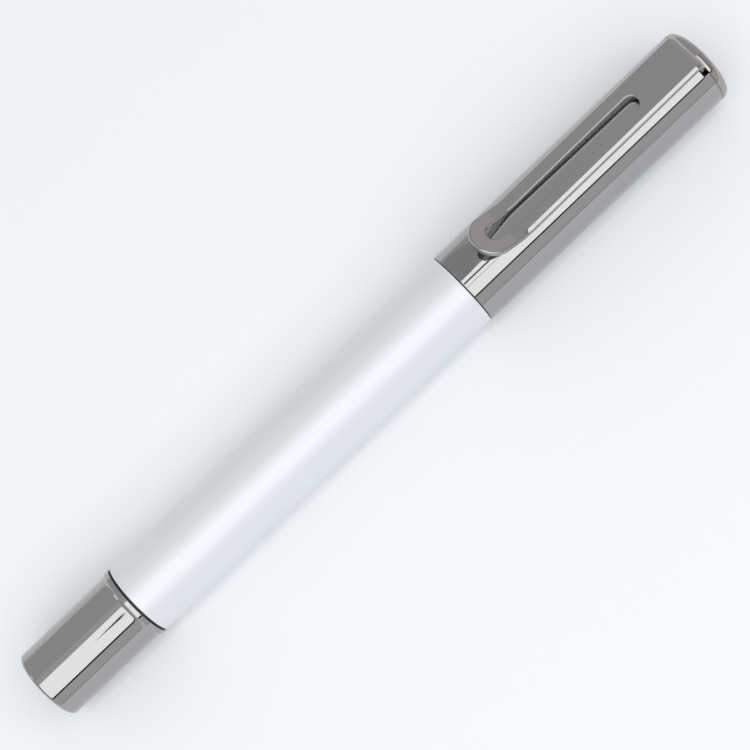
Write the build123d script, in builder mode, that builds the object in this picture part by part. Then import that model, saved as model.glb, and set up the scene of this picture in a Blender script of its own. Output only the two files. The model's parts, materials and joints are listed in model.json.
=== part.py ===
from build123d import *
import os

os.makedirs("parts", exist_ok=True)

# A capped pen lies along X with its cap towards +X and its clip on top (+Z).
# All sizes are in millimetres. Every distance along the pen is measured from the tail end.
# The origin is under the middle of the pen, on the surface that it lies on.

# Outside of the pen
overall_length = 138.0
cap_radius = 6.5
barrel_radius = 6.4
tail_radius = 6.075
collar_radius = 6.43
edge_break = 0.12

# Fits: the radial room between two pieces
running_gap = 0.04
press_gap = 0.02
face_gap = 0.05

# Tail
tail_wall = 0.45
tail_end_wall = 0.8
tail_edge_radius = 0.6
flare_start = 17.3
collar_start = 18.05
collar_end = 18.9
gasket_thickness = 0.3
gasket_radius = 6.2
gasket_bore = 3.1
tail_stud_radius = 1.9
tail_stud_start = 8.0
tail_thread_radius = 2.95

# Barrel
barrel_start = collar_end + gasket_thickness + face_gap
barrel_end = 87.55
barrel_wall = 0.5
rear_bush_length = 7.8
front_bush_start = 79.5
front_bush_bore = 5.05

# Front ring, and the grip section that screws into the front bush
ring_radius = 6.0
ring_end = 89.3
ring_bore = 5.1
section_start = 81.5
thread_radius = front_bush_bore - running_gap
thread_root = 4.6
thread_pitch = 1.0
thread_turns = 5
flange_radius = 5.9
flange_end = 90.4
grip_start = 90.6
grip_start_radius = 5.7
grip_end = 114.0
grip_end_radius = 4.85
section_end = 114.7
section_front_radius = 4.3
section_rear_bore = 4.2
section_rear_bore_end = 92.3
section_bore = 3.6
grip_groove_first = 94.5
grip_groove_pitch = 1.8
grip_groove_count = 6
grip_groove_width = 0.5
grip_groove_depth = 0.18
click_groove_start = 106.2
click_groove_width = 1.2
click_groove_radius = 4.8
click_ring_radius = 5.56
click_ring_split = 1.0
o_ring_wire = 0.2

# Nib unit inside the section
line_width = 0.7
nib_body_start = 84.5
nib_body_shoulder = 92.5
nib_body_end = 118.0
spigot_radius = 2.2
nib_body_bore = 1.75
nib_body_bore_end = 111.6
comb_first = 97.0
comb_pitch = 1.5
comb_count = 10
comb_width = 0.7
comb_root = 2.7
color_ring_width = 1.1
color_ring_radius = 3.5
cone_radius = 3.4
cone_land = 0.8
cone_tip_radius = 0.95
cone_end = 122.8
tube_shank_radius = 0.6
tube_shank_start = 111.8
tube_step = 123.0
tube_end = 126.0
tube_bore = 0.2
wire_radius = 0.12
wire_reach = 0.1
weight_radius = 1.66
weight_start = 97.0
weight_end = 111.0
plug_start = 92.8
plug_end = 95.4
plug_bore = 0.4

# Ink cartridge on the rear spigot of the nib unit
cartridge_start = 46.0
cartridge_radius = 3.9
cartridge_wall = 0.6
cartridge_neck_start = 84.3
cartridge_end = 91.3

# Cap
cap_lip = 87.7
cap_wall = 0.38
cap_seam = 136.2
notch_depth = 1.0
notch_width = 8.0
finial_start = 136.25
finial_edge_radius = 1.2
finial_crown = 0.15
finial_stud_radius = 1.25
finial_stud_depth = 1.2
head_start = 133.95
head_pocket_width = 7.6
head_pocket_start = 134.9
head_pocket_floor = 2.9

# Inner cap and the sprung seal that closes over the nib
liner_start = 105.4
liner_end = 133.9
liner_mouth_radius = 5.6
liner_step = 114.8
seal_cup_radius = 4.2
seal_cup_start = 114.8
seal_cup_bore = 3.75
seal_cup_floor = 129.4
seal_cup_end = 130.4
seal_flange_radius = 4.6
seal_flange_start = 129.2
seal_pad_start = 126.25
spring_wire = 0.45
spring_turns = 3.5
spring_radius = 3.9

# Clip
clip_width = 7.05
clip_thickness = 0.9
clip_tip = 92.35
clip_tip_height = 10.5
clip_low = 99.3
clip_low_height = 7.45
clip_low_radius = 10.0
clip_root_height = 8.2
clip_foot_middle = 135.7
clip_foot_bottom = 3.3
clip_bend_radius = 0.95
clip_edge_radius = 0.28
slot_start = 94.75
slot_end = 125.5
slot_width = 2.7

# Datums
axis_height = cap_radius
pen_axis = Axis((0, 0, axis_height), (1, 0, 0))
tail_point = (-overall_length / 2, 0, axis_height)
lengthwise = Plane(origin=tail_point, x_dir=(1, 0, 0), z_dir=(0, -1, 0))
plan = Plane(origin=tail_point, x_dir=(1, 0, 0), z_dir=(0, 0, 1))


def across(distance):
    """Plane square to the pen, at a distance from its tail end. Local y points up."""
    return Plane(
        origin=(distance - overall_length / 2, 0, axis_height),
        x_dir=(0, 1, 0),
        z_dir=(1, 0, 0),
    )


def finish(builder, name):
    """Labels a finished piece and writes it."""
    builder.part.label = name
    export_step(builder.part, f"parts/{name}.step")


# ---------------------------------------------------------------- tail

# A drawn metal cup whose open end flares out into the collar
tail_bore = tail_radius - tail_wall
flare_top = collar_radius - edge_break
with BuildPart() as tail_sleeve:
    with BuildSketch(lengthwise):
        with BuildLine():
            Line((tail_end_wall, 0), (0, 0))
            Line((0, 0), (0, tail_radius - tail_edge_radius))
            RadiusArc(
                (0, tail_radius - tail_edge_radius),
                (tail_edge_radius, tail_radius),
                tail_edge_radius,
            )
            Line((tail_edge_radius, tail_radius), (flare_start, tail_radius))
            TangentArc((flare_start, tail_radius), (collar_start, flare_top), tangent=(1, 0))
            Polyline(
                (collar_start, flare_top),
                (collar_start + edge_break, collar_radius),
                (collar_end - edge_break, collar_radius),
                (collar_end, collar_radius - edge_break),
                (collar_end, tail_bore),
                (tail_end_wall, tail_bore),
                (tail_end_wall, 0),
            )
        make_face()
    revolve(axis=pen_axis)
finish(tail_sleeve, "tail_sleeve")

# The moulded core that fills the sleeve and holds the stud
with BuildPart() as tail_core:
    with BuildSketch(across(tail_end_wall + face_gap)):
        Circle(tail_bore - press_gap)
    extrude(amount=collar_end - tail_end_wall - face_gap)
    with BuildSketch(across(tail_stud_start)):
        Circle(tail_stud_radius + press_gap)
    extrude(amount=collar_end - tail_stud_start, mode=Mode.SUBTRACT)
finish(tail_core, "tail_core")

# The stud that screws the tail into the rear bush of the barrel
tail_stud_end = barrel_start + rear_bush_length - gasket_thickness
with BuildPart() as tail_stud:
    with BuildSketch(across(tail_stud_start)):
        Circle(tail_stud_radius)
    extrude(amount=collar_end - tail_stud_start)
    with BuildSketch(across(collar_end)):
        Circle(tail_thread_radius)
    extrude(amount=tail_stud_end - collar_end)
    chamfer(tail_stud.edges().sort_by(Axis.X)[-1], length=edge_break * 3)
finish(tail_stud, "tail_stud")

# The thin black washer in the joint between tail and barrel
with BuildPart() as rear_gasket:
    with BuildSketch(across(collar_end + face_gap / 2)):
        Circle(gasket_radius)
        Circle(gasket_bore, mode=Mode.SUBTRACT)
    extrude(amount=gasket_thickness)
finish(rear_gasket, "rear_gasket")

# ---------------------------------------------------------------- barrel

barrel_bore = barrel_radius - barrel_wall
with BuildPart() as barrel_tube:
    with BuildSketch(across(barrel_start)):
        Circle(barrel_radius)
        Circle(barrel_bore, mode=Mode.SUBTRACT)
    extrude(amount=barrel_end - barrel_start)
    outer_rims = barrel_tube.edges().filter_by(GeomType.CIRCLE).sort_by(SortBy.RADIUS)[-2:]
    fillet(outer_rims, radius=edge_break)
finish(barrel_tube, "barrel_tube")

with BuildPart() as barrel_rear_bush:
    with BuildSketch(across(barrel_start)):
        Circle(barrel_bore - press_gap)
        Circle(tail_thread_radius + running_gap, mode=Mode.SUBTRACT)
    extrude(amount=rear_bush_length)
finish(barrel_rear_bush, "barrel_rear_bush")

with BuildPart() as barrel_front_bush:
    with BuildSketch(across(front_bush_start)):
        Circle(barrel_bore - press_gap)
        Circle(front_bush_bore, mode=Mode.SUBTRACT)
    extrude(amount=barrel_end - face_gap - front_bush_start)
finish(barrel_front_bush, "barrel_front_bush")

# The black ring in the joint between barrel and cap, which rides out with the section
with BuildPart() as front_ring:
    with BuildSketch(across(barrel_end + face_gap)):
        Circle(ring_radius)
        Circle(ring_bore, mode=Mode.SUBTRACT)
    extrude(amount=ring_end - barrel_end - face_gap)
    outer_rims = front_ring.edges().filter_by(GeomType.CIRCLE).sort_by(SortBy.RADIUS)[-2:]
    chamfer(outer_rims, length=edge_break)
finish(front_ring, "front_ring")

# ---------------------------------------------------------------- grip section

thread_end = section_start + thread_pitch * thread_turns
seat_start = barrel_end - face_gap
grip_slope = (grip_end_radius - grip_start_radius) / (grip_end - grip_start)
with BuildPart() as section_body:
    with BuildSketch(lengthwise):
        with BuildLine():
            Polyline(
                (section_start, section_rear_bore),
                (section_start, thread_radius - edge_break),
                (section_start + edge_break, thread_radius),
                (thread_end, thread_radius),
                (thread_end, thread_root),
                (seat_start, thread_root),
                (seat_start, ring_bore - running_gap),
                (ring_end + face_gap, ring_bore - running_gap),
                (ring_end + face_gap, flange_radius),
                (flange_end, flange_radius),
                (grip_start, grip_start_radius),
                (grip_end, grip_end_radius),
            )
            TangentArc(
                (grip_end, grip_end_radius),
                (section_end, section_front_radius),
                tangent=(1, grip_slope),
            )
            Polyline(
                (section_end, section_front_radius),
                (section_end, section_bore),
                (section_rear_bore_end, section_bore),
                (section_rear_bore_end, section_rear_bore),
                (section_start, section_rear_bore),
            )
        make_face()
    revolve(axis=pen_axis)
    # External thread, cut as one groove for each turn
    for turn in range(thread_turns):
        groove_start = section_start + thread_pitch * (turn + 0.5)
        with BuildSketch(lengthwise):
            with BuildLine():
                Polyline(
                    (groove_start, thread_radius + running_gap),
                    (groove_start + thread_pitch / 2, thread_radius + running_gap),
                    (groove_start + thread_pitch / 4, thread_root),
                    close=True,
                )
            make_face()
        revolve(axis=pen_axis, mode=Mode.SUBTRACT)
    # Finger rings on the grip
    for groove in range(grip_groove_count):
        groove_start = grip_groove_first + grip_groove_pitch * groove
        groove_top = grip_start_radius + grip_slope * (groove_start - grip_start)
        with BuildSketch(across(groove_start)):
            Circle(barrel_radius)
            Circle(groove_top - grip_groove_depth, mode=Mode.SUBTRACT)
        extrude(amount=grip_groove_width, mode=Mode.SUBTRACT)
    # Groove for the click ring
    with BuildSketch(across(click_groove_start)):
        Circle(barrel_radius)
        Circle(click_groove_radius, mode=Mode.SUBTRACT)
    extrude(amount=click_groove_width, mode=Mode.SUBTRACT)
finish(section_body, "section_body")

# The rubber ring that seals the section's thread
with BuildPart() as section_o_ring:
    with BuildSketch(lengthwise):
        with Locations(((thread_end + seat_start) / 2, thread_root + o_ring_wire)):
            Circle(o_ring_wire - press_gap)
    revolve(axis=pen_axis)
finish(section_o_ring, "section_o_ring")

# The split ring that the cap clicks over and turns on
with BuildPart() as click_ring:
    with BuildSketch(across(click_groove_start + face_gap)):
        Circle(click_ring_radius)
        Circle(click_groove_radius + running_gap, mode=Mode.SUBTRACT)
        with Locations((0, -click_ring_radius)):
            Rectangle(click_ring_split, click_ring_radius, mode=Mode.SUBTRACT)
    extrude(amount=click_groove_width - 2 * face_gap)
finish(click_ring, "click_ring")

# ---------------------------------------------------------------- nib unit

# The feed: a moulded body with a comb of air chambers and a bore for the weight
with BuildPart() as nib_body:
    with BuildSketch(lengthwise):
        with BuildLine():
            Polyline(
                (nib_body_start, nib_body_bore),
                (nib_body_start, spigot_radius),
                (nib_body_shoulder, spigot_radius),
                (nib_body_shoulder, section_bore - press_gap),
                (section_end, section_bore - press_gap),
                (section_end, spigot_radius),
                (nib_body_end, spigot_radius),
                (nib_body_end, tube_shank_radius + press_gap),
                (nib_body_bore_end, tube_shank_radius + press_gap),
                (nib_body_bore_end, nib_body_bore),
                close=True,
            )
        make_face()
    revolve(axis=pen_axis)
    for chamber in range(comb_count):
        with BuildSketch(across(comb_first + comb_pitch * chamber)):
            Circle(section_bore)
            Circle(comb_root, mode=Mode.SUBTRACT)
        extrude(amount=comb_width, mode=Mode.SUBTRACT)
finish(nib_body, "nib_body")

# The coloured ring that tells the line width
color_ring_end = section_end + face_gap + color_ring_width
with BuildPart() as color_ring:
    with BuildSketch(across(section_end + face_gap)):
        Circle(color_ring_radius)
        Circle(spigot_radius + press_gap, mode=Mode.SUBTRACT)
    extrude(amount=color_ring_width)
    outer_rims = color_ring.edges().filter_by(GeomType.CIRCLE).sort_by(SortBy.RADIUS)[-2:]
    fillet(outer_rims, radius=edge_break)
finish(color_ring, "color_ring")

# The cone that steadies the writing tube
cone_start = color_ring_end + press_gap
with BuildPart() as nib_cone:
    with BuildSketch(lengthwise):
        with BuildLine():
            Polyline(
                (cone_start, spigot_radius + press_gap),
                (cone_start, cone_radius),
                (cone_start + cone_land, cone_radius),
                (cone_end - edge_break, cone_tip_radius),
                (cone_end, cone_tip_radius - edge_break),
                (cone_end, tube_shank_radius + press_gap),
                (nib_body_end + face_gap, tube_shank_radius + press_gap),
                (nib_body_end + face_gap, spigot_radius + press_gap),
                close=True,
            )
        make_face()
    revolve(axis=pen_axis)
finish(nib_cone, "nib_cone")

# The steel writing tube: a stout shank, then the tube as wide as the line
with BuildPart() as nib_tube:
    with BuildSketch(lengthwise):
        with BuildLine():
            Polyline(
                (tube_shank_start, tube_bore),
                (tube_shank_start, tube_shank_radius),
                (tube_step, tube_shank_radius),
                (tube_step + edge_break, line_width / 2),
                (tube_end, line_width / 2),
                (tube_end, tube_bore),
                close=True,
            )
        make_face()
    revolve(axis=pen_axis)
finish(nib_tube, "nib_tube")

# The drop weight with the wire that keeps the tube clear
with BuildPart() as wire_weight:
    with BuildSketch(across(weight_start)):
        Circle(weight_radius)
    extrude(amount=weight_end - weight_start)
    chamfer(wire_weight.edges().filter_by(GeomType.CIRCLE), length=edge_break * 2)
    with BuildSketch(across(weight_end)):
        Circle(wire_radius)
    extrude(amount=tube_end + wire_reach - weight_end)
finish(wire_weight, "wire_weight")

# The plug that keeps the weight in, drilled for the ink
with BuildPart() as safety_plug:
    with BuildSketch(across(plug_start)):
        Circle(nib_body_bore - press_gap)
        Circle(plug_bore, mode=Mode.SUBTRACT)
    extrude(amount=plug_end - plug_start)
finish(safety_plug, "safety_plug")

# ---------------------------------------------------------------- ink

with BuildPart() as ink_cartridge:
    with BuildSketch(across(cartridge_start)):
        Circle(cartridge_radius)
    extrude(amount=cartridge_end - cartridge_start)
    fillet(ink_cartridge.edges().sort_by(Axis.X)[0], radius=cartridge_wall)
    with BuildSketch(across(cartridge_start + cartridge_wall)):
        Circle(cartridge_radius - cartridge_wall)
    extrude(amount=cartridge_neck_start - cartridge_start - cartridge_wall, mode=Mode.SUBTRACT)
    with BuildSketch(across(cartridge_neck_start)):
        Circle(spigot_radius + running_gap)
    extrude(amount=cartridge_end - cartridge_neck_start, mode=Mode.SUBTRACT)
finish(ink_cartridge, "ink_cartridge")

# ---------------------------------------------------------------- cap

cap_bore = cap_radius - cap_wall
with BuildPart() as cap_tube:
    with BuildSketch(across(cap_lip)):
        Circle(cap_radius)
        Circle(cap_bore, mode=Mode.SUBTRACT)
    extrude(amount=cap_seam - cap_lip)
    fillet(cap_tube.edges().group_by(Axis.X)[0], radius=edge_break)
    # Notch that lets the clip's foot in
    with BuildSketch(across(cap_seam - notch_depth)):
        with Locations((0, cap_radius)):
            Rectangle(notch_width, cap_radius)
    extrude(amount=notch_depth, mode=Mode.SUBTRACT)
finish(cap_tube, "cap_tube")

# The moulded liner, which guides the seal and clicks over the section
seal_guide = seal_cup_radius + running_gap
spring_chamber = seal_flange_radius + running_gap
with BuildPart() as inner_cap:
    with BuildSketch(across(liner_start)):
        Circle(cap_bore - press_gap)
    extrude(amount=liner_end - liner_start)
    with BuildSketch(across(liner_start)):
        Circle(liner_mouth_radius)
    extrude(amount=liner_step - liner_start, mode=Mode.SUBTRACT)
    with BuildSketch(across(liner_step)):
        Circle(seal_guide)
    extrude(amount=seal_flange_start - face_gap - liner_step, mode=Mode.SUBTRACT)
    with BuildSketch(across(seal_flange_start - face_gap)):
        Circle(spring_chamber)
    extrude(amount=liner_end - seal_flange_start + face_gap, mode=Mode.SUBTRACT)
finish(inner_cap, "inner_cap")

# The cup that closes over the nib, with a flange that stops it in the liner
with BuildPart() as seal_cup:
    with BuildSketch(lengthwise):
        with BuildLine():
            Polyline(
                (seal_cup_start, seal_cup_bore),
                (seal_cup_start, seal_cup_radius - edge_break),
                (seal_cup_start + edge_break, seal_cup_radius),
                (seal_flange_start, seal_cup_radius),
                (seal_flange_start, seal_flange_radius),
                (seal_cup_end, seal_flange_radius),
                (seal_cup_end, 0),
                (seal_cup_floor, 0),
                (seal_cup_floor, seal_cup_bore),
                close=True,
            )
        make_face()
    revolve(axis=pen_axis)
finish(seal_cup, "seal_cup")

# The soft pad that meets the writing tube
with BuildPart() as seal_pad:
    with BuildSketch(across(seal_pad_start)):
        Circle(seal_cup_bore - press_gap)
    extrude(amount=seal_cup_floor - press_gap - seal_pad_start)
    fillet(seal_pad.edges().sort_by(Axis.X)[0], radius=edge_break * 3)
finish(seal_pad, "seal_pad")

# The coil spring behind the cup
spring_start = seal_cup_end + face_gap + spring_wire / 2
spring_end = liner_end - face_gap - spring_wire / 2
with BuildPart() as seal_spring:
    with BuildLine() as spring_line:
        Helix(
            pitch=(spring_end - spring_start) / spring_turns,
            height=spring_end - spring_start,
            radius=spring_radius,
            center=across(spring_start).origin,
            direction=pen_axis.direction,
        )
    with BuildSketch(Plane(origin=spring_line.line @ 0, z_dir=spring_line.line % 0)):
        Circle(spring_wire / 2)
    sweep(path=spring_line.line, is_frenet=True)
finish(seal_spring, "seal_spring")

# The metal plug in the cap's end, with a pocket that holds the clip's foot
with BuildPart() as cap_head:
    with BuildSketch(across(head_start)):
        Circle(cap_bore - press_gap)
        Circle(finial_stud_radius + press_gap, mode=Mode.SUBTRACT)
    extrude(amount=cap_seam - head_start)
    with BuildSketch(across(head_pocket_start)):
        with Locations((0, head_pocket_floor)):
            Rectangle(head_pocket_width, cap_radius, align=(Align.CENTER, Align.MIN))
    extrude(amount=cap_seam - head_pocket_start, mode=Mode.SUBTRACT)
finish(cap_head, "cap_head")

with BuildPart() as finial_stud:
    with BuildSketch(across(head_start + face_gap)):
        Circle(finial_stud_radius)
    extrude(amount=finial_start + finial_stud_depth - head_start - 2 * face_gap)
    chamfer(finial_stud.edges().filter_by(GeomType.CIRCLE), length=edge_break)
finish(finial_stud, "finial_stud")

# The domed button that closes the cap
finial_flat = overall_length - finial_crown
with BuildPart() as cap_finial:
    with BuildSketch(lengthwise):
        with BuildLine():
            Line((overall_length, 0), (finial_start, 0))
            Line((finial_start, 0), (finial_start, cap_radius))
            Line((finial_start, cap_radius), (finial_flat - finial_edge_radius, cap_radius))
            RadiusArc(
                (finial_flat - finial_edge_radius, cap_radius),
                (finial_flat, cap_radius - finial_edge_radius),
                finial_edge_radius,
            )
            TangentArc(
                (overall_length, 0),
                (finial_flat, cap_radius - finial_edge_radius),
                tangent=(0, 1),
            )
        make_face()
    revolve(axis=pen_axis)
    with BuildSketch(across(finial_start)):
        Circle(finial_stud_radius + press_gap)
    extrude(amount=finial_stud_depth, mode=Mode.SUBTRACT)
finish(cap_finial, "cap_finial")

# ---------------------------------------------------------------- clip

# A polished strip with a long slot and a round tip that curls up. It comes nearest to the cap
# behind the tip, and its other end is bent down into the cap's notch
half_thickness = clip_thickness / 2
with BuildPart() as clip:
    with BuildLine(lengthwise) as clip_line:
        FilletPolyline(
            (clip_tip, clip_tip_height - half_thickness),
            (clip_low, clip_low_height - half_thickness),
            (clip_foot_middle, clip_root_height - half_thickness),
            (clip_foot_middle, clip_foot_bottom),
            radius=(clip_low_radius, clip_bend_radius),
        )
    clip_start = Plane(
        origin=clip_line.line @ 0, x_dir=(0, 1, 0), z_dir=clip_line.line % 0
    )
    with BuildSketch(clip_start):
        RectangleRounded(clip_width, clip_thickness, clip_edge_radius)
    sweep(path=clip_line.line)
    # Outline seen from above: a full round tip
    with BuildSketch(plan):
        with Locations((clip_tip + clip_width / 2, 0)):
            Circle(clip_width / 2)
        with Locations((clip_tip + clip_width / 2, 0)):
            Rectangle(
                overall_length,
                clip_width + clip_thickness,
                align=(Align.MIN, Align.CENTER),
            )
    extrude(amount=overall_length, mode=Mode.INTERSECT)
    with BuildSketch(plan):
        with Locations(((slot_start + slot_end) / 2, 0)):
            SlotOverall(slot_end - slot_start, slot_width)
    extrude(amount=overall_length, mode=Mode.SUBTRACT)
finish(clip, "clip")
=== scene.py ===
"""The looks of a capped technical pen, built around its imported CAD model.

The pen lies along X with its cap towards +X and its clip on top. Lengths are in metres. Places come
from the CAD nodes, and sizes that the CAD doesn't show stand as fields of the class that uses them.
"""

import functools
import json
import logging
import math
from dataclasses import dataclass, field
from enum import Enum
from typing import Callable, Iterable, Sequence

import bmesh
import bpy
from mathutils import Matrix, Vector


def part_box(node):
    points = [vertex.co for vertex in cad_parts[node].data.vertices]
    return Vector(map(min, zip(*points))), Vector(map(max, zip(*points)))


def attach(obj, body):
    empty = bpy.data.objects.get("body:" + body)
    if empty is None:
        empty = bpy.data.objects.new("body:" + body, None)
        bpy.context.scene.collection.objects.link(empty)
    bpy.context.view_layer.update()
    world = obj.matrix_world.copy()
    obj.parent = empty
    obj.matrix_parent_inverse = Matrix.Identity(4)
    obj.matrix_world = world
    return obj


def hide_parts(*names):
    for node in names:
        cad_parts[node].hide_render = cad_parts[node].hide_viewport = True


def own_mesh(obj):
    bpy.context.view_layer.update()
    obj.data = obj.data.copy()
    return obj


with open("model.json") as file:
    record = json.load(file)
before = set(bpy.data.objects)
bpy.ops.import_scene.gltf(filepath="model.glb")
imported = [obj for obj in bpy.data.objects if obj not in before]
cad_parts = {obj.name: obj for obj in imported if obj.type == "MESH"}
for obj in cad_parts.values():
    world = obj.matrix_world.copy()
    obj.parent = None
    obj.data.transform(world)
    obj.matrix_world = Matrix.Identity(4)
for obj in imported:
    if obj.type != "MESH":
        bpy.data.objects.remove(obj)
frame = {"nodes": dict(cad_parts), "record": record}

LOG = logging.getLogger("pen")

MM = 0.001
FULL_TURN = 2 * math.pi
SPIN_STEPS = 240
ROUND_STEPS = 6
HOLD = 0.04 * MM
MERGE = 1e-7
SHARP_ANGLE = math.radians(38)
WHOLE_TURN_WITHIN = 0.01

Point = tuple[float, float]
Color = tuple[float, float, float]


# ---------------------------------------------------------------- shapes


@dataclass(frozen=True)
class Span:
    """Where a CAD node lies: its two ends along the pen, and its outer radius."""

    start: float
    end: float
    radius: float

    @classmethod
    def of(cls, node: str) -> "Span":
        """Measures a CAD node at rest, with half its width as the radius."""
        low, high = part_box(node)
        return cls(low.x, high.x, (high.y - low.y) / 2)


def axis_height() -> float:
    """Height of the pen's axis above the surface it lies on."""
    low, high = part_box("barrel_tube")
    return (low.z + high.z) / 2


class Outline:
    """The outline of a turned piece, drawn as distance along the pen against radius."""

    def __init__(self, x: float, r: float, rounding: float = 0.0) -> None:
        """Starts the outline at a corner, given its place and the radius of its round."""
        self._corners: list[tuple[float, float, float]] = [(x, r, rounding)]

    def to(self, x: float, r: float, rounding: float = 0.0) -> "Outline":
        """Runs straight to a corner, given its place and the radius of its round."""
        self._corners.append((x, r, rounding))
        return self

    def bow(self, x: float, r: float, rise: float, steps: int = 12) -> "Outline":
        """Runs to a point along a round bow.

        Args:
            x: Distance along the pen.
            r: Radius from the pen's axis.
            rise: Height of the bow to the left of its chord.
            steps: Number of straight runs that make the bow.

        Returns:
            This outline.
        """
        start = Vector(self._corners[-1][:2])
        end = Vector((x, r))
        chord = end - start
        left = Vector((-chord.y, chord.x)).normalized()
        radius = (chord.length_squared / 4 + rise * rise) / (2 * abs(rise))
        half = math.asin(min(1.0, chord.length / (2 * radius)))
        for step in range(1, steps + 1):
            turn = half * (2 * step / steps - 1)
            along = radius * math.sin(turn)
            height = radius * (math.cos(turn) - math.cos(half)) * math.copysign(1, rise)
            place = (start + end) / 2 + chord.normalized() * along + left * height
            self._corners.append((place.x, place.y, 0.0))
        return self

    def points(self, closed: bool = True) -> list[Point]:
        """The finished points, with round corners and held ends.

        Args:
            closed: Whether the last corner runs on to the first.

        Returns:
            The points in order.
        """
        rounded: list[Vector] = []
        count = len(self._corners)
        for index, (x, r, rounding) in enumerate(self._corners):
            corner = Vector((x, r))
            if not rounding or (not closed and index in (0, count - 1)):
                rounded.append(corner)
                continue
            before = Vector(self._corners[index - 1][:2])
            after = Vector(self._corners[(index + 1) % count][:2])
            rounded += _round_corner(before, corner, after, rounding)
        return _hold_ends(rounded, closed)


def ring_outline(span: Span, bore: float, rounding: float) -> Outline:
    """The outline of a plain ring with its two outer edges rounded."""
    return (
        Outline(span.start, bore)
        .to(span.start, span.radius, rounding)
        .to(span.end, span.radius, rounding)
        .to(span.end, bore)
    )


def _round_corner(before: Vector, corner: Vector, after: Vector, radius: float) -> list[Vector]:
    """Points of the arc that rounds a corner.

    Args:
        before: The corner before it.
        corner: The corner to round.
        after: The corner after it.
        radius: The round's radius.

    Returns:
        The arc's points, from the run before to the run after.
    """
    back = (before - corner).normalized()
    ahead = (after - corner).normalized()
    half = back.angle(ahead) / 2
    centre = corner + (back + ahead).normalized() * (radius / math.sin(half))
    first = corner + back * (radius / math.tan(half)) - centre
    side = math.copysign(1, back.cross(ahead))
    sweep = -side * (math.pi - 2 * half)
    turns = (sweep * step / ROUND_STEPS for step in range(ROUND_STEPS + 1))
    return [centre + Matrix.Rotation(turn, 2) @ first for turn in turns]


def _hold_ends(points: Sequence[Vector], closed: bool) -> list[Point]:
    """Adds a point just inside each end of a long run, so that its shading stays flat.

    Args:
        points: The outline's points.
        closed: Whether the last point runs on to the first.

    Returns:
        The points with the holding points among them.
    """
    held: list[Point] = []
    for index, start in enumerate(points):
        held.append((start.x, start.y))
        if index == len(points) - 1 and not closed:
            break
        run = points[(index + 1) % len(points)] - start
        if run.length > 4 * HOLD:
            step = run.normalized() * HOLD
            held.append(tuple(start + step))
            held.append(tuple(start + run - step))
    return held


def link(name: str, data: bpy.types.ID) -> bpy.types.Object:
    """Puts mesh, light or camera data in the scene as an object."""
    made = bpy.data.objects.new(name, data)
    bpy.context.scene.collection.objects.link(made)
    return made


def to_data(name: str, mesh: bmesh.types.BMesh) -> bpy.types.Mesh:
    """Writes an edited mesh to mesh data and frees it."""
    data = bpy.data.meshes.new(name)
    mesh.to_mesh(data)
    mesh.free()
    return data


def finish_mesh(name: str, mesh: bmesh.types.BMesh, bevel: float = 0.0) -> bpy.types.Object:
    """Turns an edited mesh into an object with clean faces and smooth shading.

    Args:
        name: The object's name.
        mesh: The edited mesh, which is freed.
        bevel: Width of the bevel on its sharp edges.

    Returns:
        The object.
    """
    bmesh.ops.remove_doubles(mesh, verts=mesh.verts, dist=MERGE)
    bmesh.ops.dissolve_degenerate(mesh, edges=mesh.edges, dist=MERGE / 10)
    loose = [vertex for vertex in mesh.verts if not vertex.link_faces]
    bmesh.ops.delete(mesh, geom=loose, context="VERTS")
    if bevel:
        sharp = [e for e in mesh.edges if e.is_manifold and e.calc_face_angle(0) > SHARP_ANGLE]
        bmesh.ops.bevel(mesh, geom=sharp, offset=bevel, segments=3, profile=0.5, affect="EDGES")
    bmesh.ops.recalc_face_normals(mesh, faces=mesh.faces)
    data = to_data(name, mesh)
    data.shade_smooth()
    data.set_sharp_from_angle(angle=SHARP_ANGLE)
    return link(name, data)


def spin(
    name: str,
    column: Callable[[float], Sequence[Point]],
    closed: bool = True,
    angles: Sequence[float] | None = None,
    bevel: float = 0.0,
) -> bpy.types.Object:
    """Spins an outline, which may change as it turns, about the pen's axis.

    Args:
        name: The object's name.
        column: Gives the outline's points at an angle from the top, always as many.
        closed: Whether the outline's last point runs on to its first.
        angles: The angles to stop at, or None for an even full turn.
        bevel: Width of the bevel on its sharp edges.

    Returns:
        The object.
    """
    stops = angles or [FULL_TURN * step / SPIN_STEPS for step in range(SPIN_STEPS + 1)]
    height = axis_height()
    mesh = bmesh.new()
    rows = []
    for angle in stops:
        side, up = math.sin(angle), math.cos(angle)
        rows.append([mesh.verts.new((x, r * side, height + r * up)) for x, r in column(angle)])
    size = len(rows[0])
    for one, other in zip(rows, rows[1:]):
        for index in range(size if closed else size - 1):
            following = (index + 1) % size
            mesh.faces.new((one[index], one[following], other[following], other[index]))
    if angles and abs(angles[-1] - angles[0] - FULL_TURN) > WHOLE_TURN_WITHIN:
        mesh.faces.new(rows[0])
        mesh.faces.new(rows[-1])
    return finish_mesh(name, mesh, bevel)


def turned(name: str, outline: Outline, closed: bool = True) -> bpy.types.Object:
    """Spins a plain outline, whose last corner may run on to its first."""
    points = outline.points(closed)
    return spin(name, lambda angle: points, closed)


# ---------------------------------------------------------------- shader effects


EVEN = (1, 1, 1)
SMUDGE_SCALE, SMUDGE_LOW, SMUDGE_HIGH = 210, 0.48, 0.72
HAIR_STRETCH, HAIR_LOW, HAIR_HIGH, HAIR_DEPTH = (90, 5200, 5200), 0.62, 0.74, 0.2
RIPPLE_SCALE = 420
LATHE_STRETCH, PATCH_SCALE, PATCH_SHARE = (9000, 12, 12), 260, 0.5
LATHE_AVERAGE = 0.5 + PATCH_SHARE / 2
GRAIN_SCALE = 7500
FLOW_STRETCH, FLOW_SCALE = (0.4, 1, 1), 330
FLAKE_SCALE, CLOUD_SCALE, LACQUER_SCALE = 9500, 900, 5200


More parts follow.
